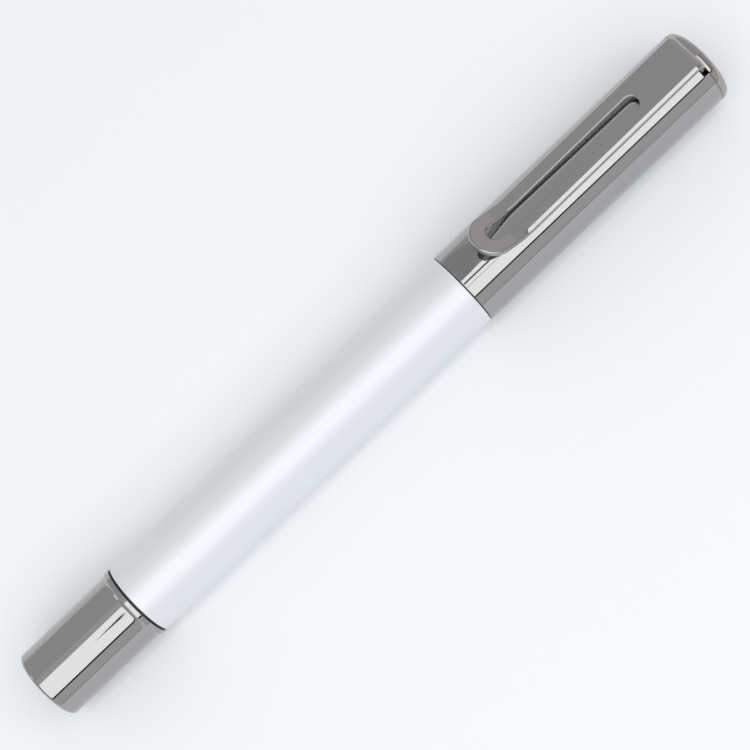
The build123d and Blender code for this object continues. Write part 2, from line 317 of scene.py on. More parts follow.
class Wiring:
    """Adds nodes to a node tree and joins them."""

    def __init__(self, tree: bpy.types.NodeTree) -> None:
        """Keeps the tree that nodes are added to."""
        self.tree = tree

    def add(self, kind: str, inputs: dict | None = None, **settings: object) -> bpy.types.Node:
        """Adds a node.

        Args:
            kind: The node's type name.
            inputs: A value, or another node's output, for each named or numbered input.
            settings: Values of the node's own properties.

        Returns:
            The node.
        """
        node = self.tree.nodes.new(kind)
        for key, value in settings.items():
            setattr(node, key, value)
        for key, value in (inputs or {}).items():
            self.feed(node.inputs[key], value)
        return node

    def feed(self, socket: bpy.types.NodeSocket, value: object) -> None:
        """Gives an input a value, or joins it to another node's output."""
        if isinstance(value, bpy.types.NodeSocket):
            self.tree.links.new(value, socket)
        else:
            socket.default_value = value

    def math(self, operation: str, first: object, second: object) -> bpy.types.NodeSocket:
        """Gives the result of a Math node's operation on two values or sources."""
        node = self.add("ShaderNodeMath", {0: first, 1: second}, operation=operation)
        return node.outputs[0]

    def noise(self, vector: object, scale: float, detail: float = 2.0) -> bpy.types.NodeSocket:
        """Gives noise, near 0.5 on average, with a scale and a number of finer layers."""
        inputs = {"Vector": vector, "Scale": scale, "Detail": detail}
        return self.add("ShaderNodeTexNoise", inputs).outputs["Fac"]

    def stretched(self, scale: tuple[float, float, float]) -> bpy.types.NodeSocket:
        """Gives the piece's own coordinates, scaled along each axis."""
        place = self.add("ShaderNodeTexCoord").outputs["Object"]
        return self.add("ShaderNodeMapping", {"Vector": place, "Scale": scale}).outputs[0]

    def ramp(self, value: object, low: float, high: float) -> bpy.types.NodeSocket:
        """Gives a smooth mask that goes from 0 to 1 as a value goes from low to high."""
        inputs = {"Value": value, "From Min": low, "From Max": high}
        node = self.add("ShaderNodeMapRange", inputs, interpolation_type="SMOOTHSTEP")
        return node.outputs[0]


def effect(name: str, inputs: Iterable[str], outputs: Iterable[str]) -> tuple[Wiring, dict, dict]:
    """Starts a node group of plain values.

    Args:
        name: The group's name.
        inputs: Names of its inputs.
        outputs: Names of its outputs. One called Color is a colour, and so is an input called Color.

    Returns:
        Its wiring, its inputs as sources by name, and its outputs as sockets by name.
    """
    tree = bpy.data.node_groups.new(name, "ShaderNodeTree")
    for names, way in ((inputs, "INPUT"), (outputs, "OUTPUT")):
        for socket in names:
            kind = "NodeSocketColor" if socket == "Color" else "NodeSocketFloat"
            tree.interface.new_socket(name=socket, in_out=way, socket_type=kind)
    wiring = Wiring(tree)
    sources = wiring.add("NodeGroupInput").outputs
    sinks = wiring.add("NodeGroupOutput").inputs
    return wiring, {s.name: s for s in sources}, {s.name: s for s in sinks}


@functools.cache
def handled_polish() -> bpy.types.NodeTree:
    """Smudges and hairlines on a polished surface, as a roughness and a height.

    Returns:
        The group, with inputs Roughness, Smudge and Hairline.
    """
    wiring, given, out = effect(
        "Handled polish", ("Roughness", "Smudge", "Hairline"), ("Roughness", "Height")
    )
    cloud = wiring.ramp(
        wiring.noise(wiring.stretched(EVEN), SMUDGE_SCALE, 5), SMUDGE_LOW, SMUDGE_HIGH
    )
    lines = wiring.noise(wiring.stretched(HAIR_STRETCH), 1, 1)
    hairs = wiring.ramp(lines, HAIR_LOW, HAIR_HIGH)
    smudged = wiring.math("MULTIPLY", cloud, given["Smudge"])
    lined = wiring.math("MULTIPLY", hairs, given["Hairline"])
    rougher = wiring.math("ADD", smudged, lined)
    wiring.feed(out["Roughness"], wiring.math("ADD", given["Roughness"], rougher))
    ripple = wiring.noise(wiring.stretched(EVEN), RIPPLE_SCALE)
    cut = wiring.math("MULTIPLY", hairs, HAIR_DEPTH)
    wiring.feed(out["Height"], wiring.math("SUBTRACT", ripple, cut))
    return wiring.tree


@functools.cache
def turning_marks() -> bpy.types.NodeTree:
    """The fine rings that a lathe leaves, as a tone and a height.

    Returns:
        The group, with the input Amount.
    """
    wiring, given, out = effect("Turning marks", ("Amount",), ("Tone", "Height"))
    rings = wiring.noise(wiring.stretched(LATHE_STRETCH), 1, 3)
    patches = wiring.noise(wiring.stretched(EVEN), PATCH_SCALE, 3)
    both = wiring.math("ADD", rings, wiring.math("MULTIPLY", patches, PATCH_SHARE))
    centred = wiring.math("SUBTRACT", both, LATHE_AVERAGE)
    tone = wiring.math("MULTIPLY", centred, given["Amount"])
    wiring.feed(out["Tone"], wiring.math("ADD", tone, 1.0))
    wiring.feed(out["Height"], rings)
    return wiring.tree


@functools.cache
def moulded_skin() -> bpy.types.NodeTree:
    """The skin of a moulded piece: fine grain with faint flow patches.

    Returns:
        The group, with inputs Roughness and Variation.
    """
    wiring, given, out = effect(
        "Moulded skin", ("Roughness", "Variation"), ("Tone", "Roughness", "Height")
    )
    flow = wiring.noise(wiring.stretched(FLOW_STRETCH), FLOW_SCALE, 4)
    centred = wiring.math("SUBTRACT", flow, 0.5)
    spread = wiring.math("MULTIPLY", centred, given["Variation"])
    wiring.feed(out["Tone"], wiring.math("ADD", spread, 1.0))
    wiring.feed(out["Roughness"], wiring.math("ADD", given["Roughness"], spread))
    wiring.feed(out["Height"], wiring.noise(wiring.stretched(EVEN), GRAIN_SCALE))
    return wiring.tree


@functools.cache
def pearl_flake() -> bpy.types.NodeTree:
    """The flakes in a pearl lacquer, as a tone, a metallic mask and a height.

    Returns:
        The group, with inputs Sparkle, Metallic and Cloud.
    """
    wiring, given, out = effect(
        "Pearl flake", ("Sparkle", "Metallic", "Cloud"), ("Tone", "Metallic", "Height")
    )
    place = wiring.stretched(EVEN)
    cells = wiring.add("ShaderNodeTexVoronoi", {"Vector": place, "Scale": FLAKE_SCALE})
    flakes = wiring.add("ShaderNodeSeparateColor", {0: cells.outputs["Color"]}).outputs[0]
    cloud = wiring.noise(place, CLOUD_SCALE, 3)
    flaked = wiring.math("MULTIPLY", wiring.math("SUBTRACT", flakes, 0.5), given["Sparkle"])
    clouded = wiring.math("MULTIPLY", wiring.math("SUBTRACT", cloud, 0.5), given["Cloud"])
    wiring.feed(out["Tone"], wiring.math("ADD", wiring.math("ADD", flaked, clouded), 1.0))
    shine = wiring.math("MULTIPLY", wiring.ramp(flakes, 0.0, 1.0), given["Metallic"])
    wiring.feed(out["Metallic"], wiring.math("ADD", shine, given["Metallic"]))
    wiring.feed(out["Height"], wiring.noise(place, LACQUER_SCALE, 3))
    return wiring.tree


# ---------------------------------------------------------------- finishes


@dataclass(frozen=True)
class Finish:
    """A surface finish, which becomes one material."""

    slot: str
    color: Color
    roughness: float
    label: str = ""

    def values(self) -> dict[str, object]:
        """Plain values for the shader's own sockets."""
        return {"Roughness": self.roughness}

    def surface(self, wiring: Wiring, shader: bpy.types.Node) -> None:
        """Joins the finish's effects to its shader."""

    def material(self) -> bpy.types.Material:
        """Builds the material, or gives the one that was built before."""
        name = f"pen {self.label or self.slot}"
        made = bpy.data.materials.get(name)
        if made:
            return made
        made = bpy.data.materials.new(name)
        made.use_nodes = True
        made.node_tree.nodes.clear()
        wiring = Wiring(made.node_tree)
        shader = wiring.add("ShaderNodeBsdfPrincipled", {"Base Color": (*self.color, 1.0)})
        for socket, value in self.values().items():
            shader.inputs[socket].default_value = value
        self.surface(wiring, shader)
        wiring.add("ShaderNodeOutputMaterial", {"Surface": shader.outputs[0]})
        return made

    def place_effect(
        self, wiring: Wiring, group: bpy.types.NodeTree, inputs: dict[str, float]
    ) -> dict[str, bpy.types.NodeSocket]:
        """Places a shared effect in the material.

        Args:
            wiring: The material's wiring.
            group: The effect's node group.
            inputs: The effect's values for this finish.

        Returns:
            The effect's outputs by name.
        """
        node = wiring.add("ShaderNodeGroup", node_tree=group)
        for name, value in inputs.items():
            node.inputs[name].default_value = value
        return {socket.name: socket for socket in node.outputs}

    def bump(
        self, wiring: Wiring, shader: bpy.types.Node, height: bpy.types.NodeSocket, depth: float
    ) -> None:
        """Feeds a height, of a full depth in metres, to the shader's normal."""
        inputs = {"Height": height, "Distance": depth, "Strength": 1.0}
        wiring.feed(shader.inputs["Normal"], wiring.add("ShaderNodeBump", inputs).outputs[0])

    def toned(self, wiring: Wiring, shader: bpy.types.Node, tone: bpy.types.NodeSocket) -> None:
        """Multiplies the finish's colour by a tone and feeds it to the shader."""
        grey = wiring.add("ShaderNodeCombineColor", {0: tone, 1: tone, 2: tone}).outputs[0]
        mixed = wiring.add("ShaderNodeMix", data_type="RGBA", blend_type="MULTIPLY")
        wiring.feed(mixed.inputs["Factor"], 1.0)
        colors = [s for s in mixed.inputs if s.type == "RGBA"]
        wiring.feed(colors[0], (*self.color, 1.0))
        wiring.feed(colors[1], grey)
        result = next(s for s in mixed.outputs if s.type == "RGBA")
        wiring.feed(shader.inputs["Base Color"], result)


@dataclass(frozen=True)
class PolishedPlate(Finish):
    """Bright plating with the smudges and hairlines of a handled pen."""

    smudge: float = 0.035
    hairline: float = 0.05
    ripple: float = 0.0006 * MM
    marks: float = 0.03

    def values(self) -> dict[str, object]:
        """Plain values for the shader's own sockets."""
        return {"Metallic": 1.0}

    def surface(self, wiring: Wiring, shader: bpy.types.Node) -> None:
        """Joins the finish's effects to its shader."""
        given = {"Roughness": self.roughness, "Smudge": self.smudge, "Hairline": self.hairline}
        wear = self.place_effect(wiring, handled_polish(), given)
        wiring.feed(shader.inputs["Roughness"], wear["Roughness"])
        self.bump(wiring, shader, wear["Height"], self.ripple)
        marks = self.place_effect(wiring, turning_marks(), {"Amount": self.marks})
        self.toned(wiring, shader, marks["Tone"])


@dataclass(frozen=True)
class PearlLacquer(Finish):
    """Satin lacquer with pearl flakes in it."""

    metallic: float = 0.18
    sparkle: float = 0.035
    cloud: float = 0.03
    grain: float = 0.004 * MM
    coat: float = 0.25
    coat_roughness: float = 0.32

    def values(self) -> dict[str, object]:
        """Plain values for the shader's own sockets."""
        return {
            "Roughness": self.roughness,
            "Coat Weight": self.coat,
            "Coat Roughness": self.coat_roughness,
        }

    def surface(self, wiring: Wiring, shader: bpy.types.Node) -> None:
        """Joins the finish's effects to its shader."""
        given = {"Sparkle": self.sparkle, "Metallic": self.metallic, "Cloud": self.cloud}
        flake = self.place_effect(wiring, pearl_flake(), given)
        self.toned(wiring, shader, flake["Tone"])
        wiring.feed(shader.inputs["Metallic"], flake["Metallic"])
        self.bump(wiring, shader, flake["Height"], self.grain)


@dataclass(frozen=True)
class MouldedResin(Finish):
    """A moulded plastic or rubber."""

    variation: float = 0.08
    grain: float = 0.003 * MM
    alpha: float = 1.0
    subsurface: float = 0.0

    def values(self) -> dict[str, object]:
        """Plain values for the shader's own sockets."""
        return {"Alpha": self.alpha, "Subsurface Weight": self.subsurface}

    def surface(self, wiring: Wiring, shader: bpy.types.Node) -> None:
        """Joins the finish's effects to its shader."""
        given = {"Roughness": self.roughness, "Variation": self.variation}
        skin = self.place_effect(wiring, moulded_skin(), given)
        self.toned(wiring, shader, skin["Tone"])
        wiring.feed(shader.inputs["Roughness"], skin["Roughness"])
        self.bump(wiring, shader, skin["Height"], self.grain)


@dataclass(frozen=True)
class TurnedMetal(Finish):
    """Bare metal with the marks of the tool that turned it."""

    marks: float = 0.22
    wear: float = 0.08
    depth: float = 0.002 * MM

    def values(self) -> dict[str, object]:
        """Plain values for the shader's own sockets."""
        return {"Metallic": 1.0}

    def surface(self, wiring: Wiring, shader: bpy.types.Node) -> None:
        """Joins the finish's effects to its shader."""
        marks = self.place_effect(wiring, turning_marks(), {"Amount": self.marks})
        self.toned(wiring, shader, marks["Tone"])
        given = {"Roughness": self.roughness, "Smudge": self.wear, "Hairline": self.wear}
        wear = self.place_effect(wiring, handled_polish(), given)
        wiring.feed(shader.inputs["Roughness"], wear["Roughness"])
        self.bump(wiring, shader, marks["Height"], self.depth)


class Finishes(Enum):
    """Every finish on the pen."""

    GUNMETAL = PolishedPlate("gunmetal", (0.395, 0.386, 0.39), 0.02)
    BUTTON = PolishedPlate("gunmetal", (0.40, 0.375, 0.355), 0.09, label="turned gunmetal")
    PEARL = PearlLacquer("pearl_lacquer", (0.732, 0.764, 0.796), 0.45)
    BLACK_RUBBER = MouldedResin("black_rubber", (0.012, 0.012, 0.013), 0.55, variation=0.1)
    BLACK_RING = MouldedResin("black_ring", (0.014, 0.014, 0.015), 0.28)
    SECTION = MouldedResin("section_resin", (0.03, 0.031, 0.034), 0.32)
    CORE = MouldedResin("core_resin", (0.05, 0.05, 0.052), 0.5)
    FEED = MouldedResin("feed_resin", (0.62, 0.63, 0.62), 0.35)
    COLOR_RING = MouldedResin("color_ring", (0.03, 0.13, 0.42), 0.3)
    LINER = MouldedResin("liner_resin", (0.66, 0.66, 0.64), 0.38, subsurface=0.1)
    SEAL_RUBBER = MouldedResin("seal_rubber", (0.4, 0.07, 0.04), 0.6, variation=0.12)
    CARTRIDGE = MouldedResin("cartridge_resin", (0.72, 0.76, 0.78), 0.12, alpha=0.45)
    BRASS = TurnedMetal("brass", (0.73, 0.53, 0.27), 0.24)
    STEEL = TurnedMetal("steel", (0.58, 0.58, 0.58), 0.2, marks=0.12)


def place(piece: bpy.types.Object, finish: Finishes, body: str, *nodes: str) -> None:
    """Dresses a new piece, ties it to its body and hides the CAD nodes that it stands for.

    Args:
        piece: The piece.
        finish: Its finish.
        body: The CAD body that it moves with.
        nodes: The CAD nodes that it replaces.
    """
    piece.data.materials.append(finish.value.material())
    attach(piece, body)
    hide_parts(*nodes)
    LOG.info("%s: %d faces, %s, on %s", piece.name, len(piece.data.polygons), finish.name, body)


def dress(node: str, finish: Finishes) -> None:
    """Gives a CAD node that still shows its finish."""
    for slot in frame["nodes"][node].material_slots:
        slot.material = finish.value.material()
    LOG.info("%s: CAD shape, %s", node, finish.name)


def mount(name: str) -> dict:
    """The record's mount of that name."""
    return next(m for m in frame["record"]["mounts"] if m["name"] == name)


# ---------------------------------------------------------------- the pen


@dataclass
class Tail:
    """The plated cup at the tail, its core and stud, and the washer in its joint."""

    span: Span = field(default_factory=lambda: Span.of("tail_sleeve"))
    washer: Span = field(default_factory=lambda: Span.of("rear_gasket"))
    wall: float = 0.45 * MM
    end_wall: float = 0.8 * MM
    end_round: float = 0.6 * MM
    flare: float = 0.75 * MM
    rim_round: float = 0.12 * MM
    washer_bore: float = 3.1 * MM

    def build(self) -> None:
        """Builds and dresses the sub-assembly."""
        place(self.sleeve(), Finishes.GUNMETAL, "barrel", "tail_sleeve")
        place(self.gasket(), Finishes.BLACK_RUBBER, "barrel", "rear_gasket")
        dress("tail_core", Finishes.CORE)
        dress("tail_stud", Finishes.STEEL)

    def sleeve(self) -> bpy.types.Object:
        """The drawn cup with its flared collar."""
        post = mount("tail_post")["dims"]
        radius = post["r_mm"] * MM
        bore = radius - self.wall
        flare_start = self.span.start + self.end_round + post["length_mm"] * MM
        collar_start = flare_start + self.flare
        rim = self.span.radius - self.rim_round
        chord = Vector((self.flare, rim - radius))
        slope = math.atan2(chord.y, chord.x)
        rise = -chord.length / 2 * math.tan(slope / 2)
        outline = (
            Outline(self.span.start, 0)
            .to(self.span.start, radius, self.end_round)
            .to(flare_start, radius)
            .bow(collar_start, rim, rise)
            .to(collar_start + self.rim_round, self.span.radius, self.rim_round / 2)
            .to(self.span.end, self.span.radius, self.rim_round)
            .to(self.span.end, bore)
            .to(self.span.start + self.end_wall, bore)
            .to(self.span.start + self.end_wall, 0)
        )
        return turned("tail_cup", outline, closed=False)

    def gasket(self) -> bpy.types.Object:
        """The thin black washer."""
        outline = ring_outline(self.washer, self.washer_bore, self.rim_round / 2)
        return turned("tail_washer", outline)


@dataclass
class Barrel:
    """The lacquered tube, the bushes in its ends and the black ring before the cap."""

    span: Span = field(default_factory=lambda: Span.of("barrel_tube"))
    ring: Span = field(default_factory=lambda: Span.of("front_ring"))
    wall: float = 0.5 * MM
    edge_round: float = 0.12 * MM
    ring_bore: float = 5.1 * MM

    def build(self) -> None:
        """Builds and dresses the sub-assembly."""
        place(self.tube(), Finishes.PEARL, "barrel", "barrel_tube")
        place(self.front_ring(), Finishes.BLACK_RING, "front_ring", "front_ring")
        dress("barrel_rear_bush", Finishes.BRASS)
        dress("barrel_front_bush", Finishes.BRASS)

    def tube(self) -> bpy.types.Object:
        """The lacquered tube."""
        bore = self.span.radius - self.wall
        outline = (
            Outline(self.span.start, bore, self.edge_round)
            .to(self.span.start, self.span.radius, self.edge_round)
            .to(self.span.end, self.span.radius, self.edge_round)
            .to(self.span.end, bore, self.edge_round)
        )
        return turned("barrel_sleeve", outline)

    def front_ring(self) -> bpy.types.Object:
        """The black ring, which moves out with the section."""
        outline = ring_outline(self.ring, self.ring_bore, self.edge_round)
        return turned("barrel_front_ring", outline)


@dataclass
class GripSection:
    """The moulded grip with its thread, seal and click ring, and the nib unit in its nose."""

    body: Span = field(default_factory=lambda: Span.of("section_body"))
    ring: Span = field(default_factory=lambda: Span.of("front_ring"))
    seal: Span = field(default_factory=lambda: Span.of("section_o_ring"))
    click: Span = field(default_factory=lambda: Span.of("click_ring"))
    thread_radius: float = 5.01 * MM
    thread_root: float = 4.6 * MM
    thread_pitch: float = 1.0 * MM
    thread_turns: int = 5
    thread_foot: float = 0.1
    thread_crest: float = 0.4
    seat_radius: float = 5.06 * MM
    seat_lead: float = 1.8 * MM
    gap: float = 0.05 * MM
    flange_length: float = 1.05 * MM
    flange_step: float = 0.2 * MM
    grip_start_radius: float = 5.7 * MM
    grip_end_radius: float = 4.85 * MM
    nose: float = 0.7 * MM
    nose_radius: float = 4.3 * MM
    bore: float = 3.6 * MM
    rear_bore: float = 4.2 * MM
    rear_bore_depth: float = 10.8 * MM
    groove_first: float = 13.0 * MM
    groove_pitch: float = 1.8 * MM
    groove_count: int = 6
    groove_width: float = 0.5 * MM
    groove_depth: float = 0.18 * MM
    click_radius: float = 4.8 * MM
    click_split: float = 1.0 * MM

    def build(self) -> None:
        """Builds and dresses the sub-assembly."""
        place(self.grip(), Finishes.SECTION, "section", "section_body")
        place(self.seal_ring(), Finishes.BLACK_RUBBER, "section", "section_o_ring")
        place(self.click_ring(), Finishes.STEEL, "click_ring", "click_ring")

    def _grip_radius(self, x: float) -> float:
        """Radius of the tapered grip at a distance along the pen."""
        start = self.ring.end + self.gap + self.flange_length + self.flange_step
        end = self.body.end - self.nose
        share = (x - start) / (end - start)
        return self.grip_start_radius + share * (self.grip_end_radius - self.grip_start_radius)

    def _grooved(self, outline: Outline, start: float, width: float, floor: float) -> None:
        """Runs the outline through one square groove.

        Args:
            outline: The outline so far, which ends before the groove.
            start: Where the groove starts.
            width: Its width.
            floor: Its floor's radius.
        """
        ease = self.gap
        outline.to(start, self._grip_radius(start), ease).to(start, floor, ease / 2)
        outline.to(start + width, floor, ease / 2)
        outline.to(start + width, self._grip_radius(start + width), ease)

    def grip(self) -> bpy.types.Object:
        """The grip, with a helical thread behind it."""
        thread_end = self.body.start + self.thread_pitch * self.thread_turns
        seat = self.ring.start - 2 * self.gap
        flange = self.ring.end + self.gap
        ease = 2 * self.gap
        front = Outline(thread_end, self.thread_root).to(seat, self.thread_root)
        front.to(seat, self.seat_radius, self.gap).to(flange, self.seat_radius)
        front.to(flange, self.body.radius, ease)
        front.to(flange + self.flange_length, self.body.radius, ease)
        grip_start = flange + self.flange_length + self.flange_step
        front.to(grip_start, self.grip_start_radius)
        for groove in range(self.groove_count):
            start = self.body.start + self.groove_first + self.groove_pitch * groove
            floor = self._grip_radius(start) - self.groove_depth
            self._grooved(front, start, self.groove_width, floor)
        click_start = self.click.start - self.gap
        click_width = self.click.end - self.click.start + ease
        self._grooved(front, click_start, click_width, self.click_radius)
        grip_end = self.body.end - self.nose
        front.to(grip_end, self.grip_end_radius)
        front.bow(self.body.end, self.nose_radius, self.nose / 6)
        front.to(self.body.end, self.bore, ease)
        rear_bore_end = self.body.start + self.rear_bore_depth
        front.to(rear_bore_end, self.bore).to(rear_bore_end, self.rear_bore)
        front.to(self.body.start, self.rear_bore)
        fixed = front.points(closed=False)

        def column(angle: float) -> list[Point]:
            """The outline at an angle, with the thread's turns where they cross it."""
            points: list[Point] = [(self.body.start, self.thread_root)]
            for turn in range(-1, self.thread_turns + 1):
                start = self.body.start + self.thread_pitch * (turn + angle / FULL_TURN)
                for share, radius in self._thread_form():
                    x = start + share * self.thread_pitch
                    inside = min(max(x, self.body.start), thread_end)
                    points.append((inside, radius if inside == x else self.thread_root))
            return points + list(fixed)

        return spin("section_grip", column)

    def _thread_form(self) -> list[Point]:
        """One turn of the thread, as shares of its pitch against radius."""
        foot, crest = self.thread_foot, self.thread_crest
        rise = [(foot, self.thread_root), (crest, self.thread_radius)]
        return rise + [(1 - share, radius) for share, radius in reversed(rise)]

    def seal_ring(self) -> bpy.types.Object:
        """The round rubber ring behind the seat."""
        middle = (self.seal.start + self.seal.end) / 2
        wire = (self.seal.end - self.seal.start) / 2
        centre = self.seal.radius - wire
        turns = [FULL_TURN * step / (2 * ROUND_STEPS) for step in range(2 * ROUND_STEPS)]
        ring = [(middle + wire * math.cos(t), centre + wire * math.sin(t)) for t in turns]
        return spin("section_seal_ring", lambda angle: ring)

    def click_ring(self) -> bpy.types.Object:
        """The split ring that the cap clicks over."""
        points = ring_outline(self.click, self.click_radius + self.gap, 2 * self.gap).points()
        half = math.asin(self.click_split / 2 / self.click.radius)
        sweep = FULL_TURN - 2 * half
        angles = [math.pi + half + sweep * step / SPIN_STEPS for step in range(SPIN_STEPS + 1)]
        return spin("section_click_ring", lambda angle: points, angles=angles)


@dataclass
class NibUnit:
    """The writing end: colour ring, cone, tube and the wire in it."""

    ring: Span = field(default_factory=lambda: Span.of("color_ring"))
    cone: Span = field(default_factory=lambda: Span.of("nib_cone"))
    tube: Span = field(default_factory=lambda: Span.of("nib_tube"))
    weight: Span = field(default_factory=lambda: Span.of("wire_weight"))
    spigot: float = 2.22 * MM
    ease: float = 0.12 * MM
    land: float = 0.8 * MM
    cone_tip: float = 0.95 * MM
    tube_reach: float = 3.0 * MM
    tube_radius: float = 0.35 * MM
    tube_bore: float = 0.2 * MM
    wire_radius: float = 0.12 * MM
    weight_length: float = 14.0 * MM

    def build(self) -> None:
        """Builds and dresses the sub-assembly."""
        place(self.color_ring(), Finishes.COLOR_RING, "section", "color_ring")
        place(self.tip_cone(), Finishes.FEED, "section", "nib_cone")
        place(self.writing_tube(), Finishes.STEEL, "section", "nib_tube")
        place(self.wire(), Finishes.STEEL, "weight", "wire_weight")
        dress("nib_body", Finishes.FEED)
        dress("safety_plug", Finishes.LINER)
        dress("ink_cartridge", Finishes.CARTRIDGE)

    def color_ring(self) -> bpy.types.Object:
        """The ring whose colour tells the line width."""
        return turned("nib_color_ring", ring_outline(self.ring, self.spigot, self.ease))

    def tip_cone(self) -> bpy.types.Object:
        """The cone around the writing tube."""
        shank = self.tube.radius + self.ease / 6
        outline = (
            Outline(self.cone.start, self.spigot)
            .to(self.cone.start, self.cone.radius, self.ease)
            .to(self.cone.start + self.land, self.cone.radius, self.ease)
            .to(self.cone.end, self.cone_tip, self.ease)
            .to(self.cone.end, shank)
            .to(self.cone.start + 3 * self.land, shank)
            .to(self.cone.start + 3 * self.land, self.spigot)
        )
        return turned("nib_tip_cone", outline)

    def writing_tube(self) -> bpy.types.Object:
        """The stepped steel tube."""
        step = self.tube.end - self.tube_reach
        ease = self.ease / 2
        outline = (
            Outline(self.tube.start, self.tube_bore)
            .to(self.tube.start, self.tube.radius)
            .to(step, self.tube.radius, ease)
            .to(step + self.ease, self.tube_radius)
            .to(self.tube.end, self.tube_radius, ease)
            .to(self.tube.end, self.tube_bore, ease / 2)
        )
        return turned("nib_writing_tube", outline)

    def wire(self) -> bpy.types.Object:
        """The drop weight and its wire."""
        weight_end = self.weight.start + self.weight_length
        outline = (
            Outline(self.weight.start, 0)
            .to(self.weight.start, self.weight.radius, 2 * self.ease)
            .to(weight_end, self.weight.radius, 2 * self.ease)
            .to(weight_end, self.wire_radius)
            .to(self.weight.end, self.wire_radius, self.wire_radius * 0.9)
            .to(self.weight.end, 0)
        )
        return turned("nib_wire", outline, closed=False)


@dataclass
class Cap:
    """The plated cap with its liner, head and button."""

    tube: Span = field(default_factory=lambda: Span.of("cap_tube"))
    liner: Span = field(default_factory=lambda: Span.of("inner_cap"))
    button: Span = field(default_factory=lambda: Span.of("cap_finial"))
    wall: float = 0.38 * MM
    lip_round: float = 0.12 * MM
    notch_depth: float = 1.0 * MM
    notch_width: float = 8.0 * MM
    edge_bevel: float = 0.05 * MM
    button_round: float = 1.2 * MM
    button_crown: float = 0.15 * MM
    stud_hole: float = 1.27 * MM
    stud_depth: float = 1.2 * MM
    liner_mouth: float = 5.6 * MM
    liner_mouth_depth: float = 9.4 * MM
    liner_guide: float = 4.24 * MM
    liner_guide_end: float = 23.75 * MM
    liner_chamber: float = 4.64 * MM

    def build(self) -> None:
        """Builds and dresses the sub-assembly."""
        place(self.shell(), Finishes.GUNMETAL, "cap", "cap_tube")
        place(self.inner_liner(), Finishes.LINER, "cap", "inner_cap")
        place(self.top_button(), Finishes.BUTTON, "cap", "cap_finial")
        dress("cap_head", Finishes.BRASS)
        dress("finial_stud", Finishes.STEEL)

    def shell(self) -> bpy.types.Object:
        """The plated tube, with a notch in its end for the clip."""
        radius, bore = self.tube.radius, self.tube.radius - self.wall
        lip = Outline(self.tube.start, bore, self.lip_round).to(
            self.tube.start, radius, self.lip_round
        )
        lip_points = lip.to(self.tube.end, radius).to(self.tube.end, bore).points()
        mouth = [point for point in lip_points if point[0] < self.tube.start + 2 * self.lip_round]
        corner = math.asin(self.notch_width / 2 / radius)
        floor = self.tube.end - self.notch_depth

        def column(angle: float) -> list[Point]:
            """The wall at an angle, shorter inside the notch."""
            from_top = min(angle, FULL_TURN - angle)
            end = floor if from_top < corner else self.tube.end
            stations = (floor - HOLD, floor, min(end, self.tube.end - HOLD), end)
            outside = [(x, radius) for x in stations]
            inside = [(x, bore) for x in reversed(stations)]
            first = [p for p in mouth if p[1] > (radius + bore) / 2]
            last = [p for p in mouth if p[1] <= (radius + bore) / 2]
            return last + first + outside + inside

        sliver = 1e-6
        even = [FULL_TURN * step / SPIN_STEPS for step in range(SPIN_STEPS + 1)]
        edges = [corner - sliver, corner + sliver]
        angles = sorted(even + edges + [FULL_TURN - edge for edge in edges])
        return spin("cap_shell", column, angles=angles, bevel=self.edge_bevel)

    def inner_liner(self) -> bpy.types.Object:
        """The moulded liner that guides the seal."""
        start, end = self.liner.start, self.liner.end
        ease = self.lip_round
        outline = (
            Outline(start, self.liner_mouth, ease)
            .to(start, self.liner.radius, ease)
            .to(end, self.liner.radius)
            .to(end, self.liner_chamber)
            .to(start + self.liner_guide_end, self.liner_chamber)
            .to(start + self.liner_guide_end, self.liner_guide)
            .to(start + self.liner_mouth_depth, self.liner_guide, ease)
            .to(start + self.liner_mouth_depth, self.liner_mouth)
        )
        return turned("cap_liner", outline)

    def top_button(self) -> bpy.types.Object:
        """The domed button that closes the cap."""
        start, end, radius = self.button.start, self.button.end, self.button.radius
        flat = end - self.button_crown
        rim = radius - self.button_round
        outline = (
            Outline(start, self.stud_hole)
            .to(start, radius, self.edge_bevel)
            .to(flat - self.button_round, radius)
        )
        rise = self.button_round * (1 - math.sqrt(0.5))
        outline.bow(flat, rim, rise)
        outline.bow(end, 0, self.button_crown / 4)
        outline.to(start + self.stud_depth, 0).to(start + self.stud_depth, self.stud_hole)
        return turned("cap_button", outline)


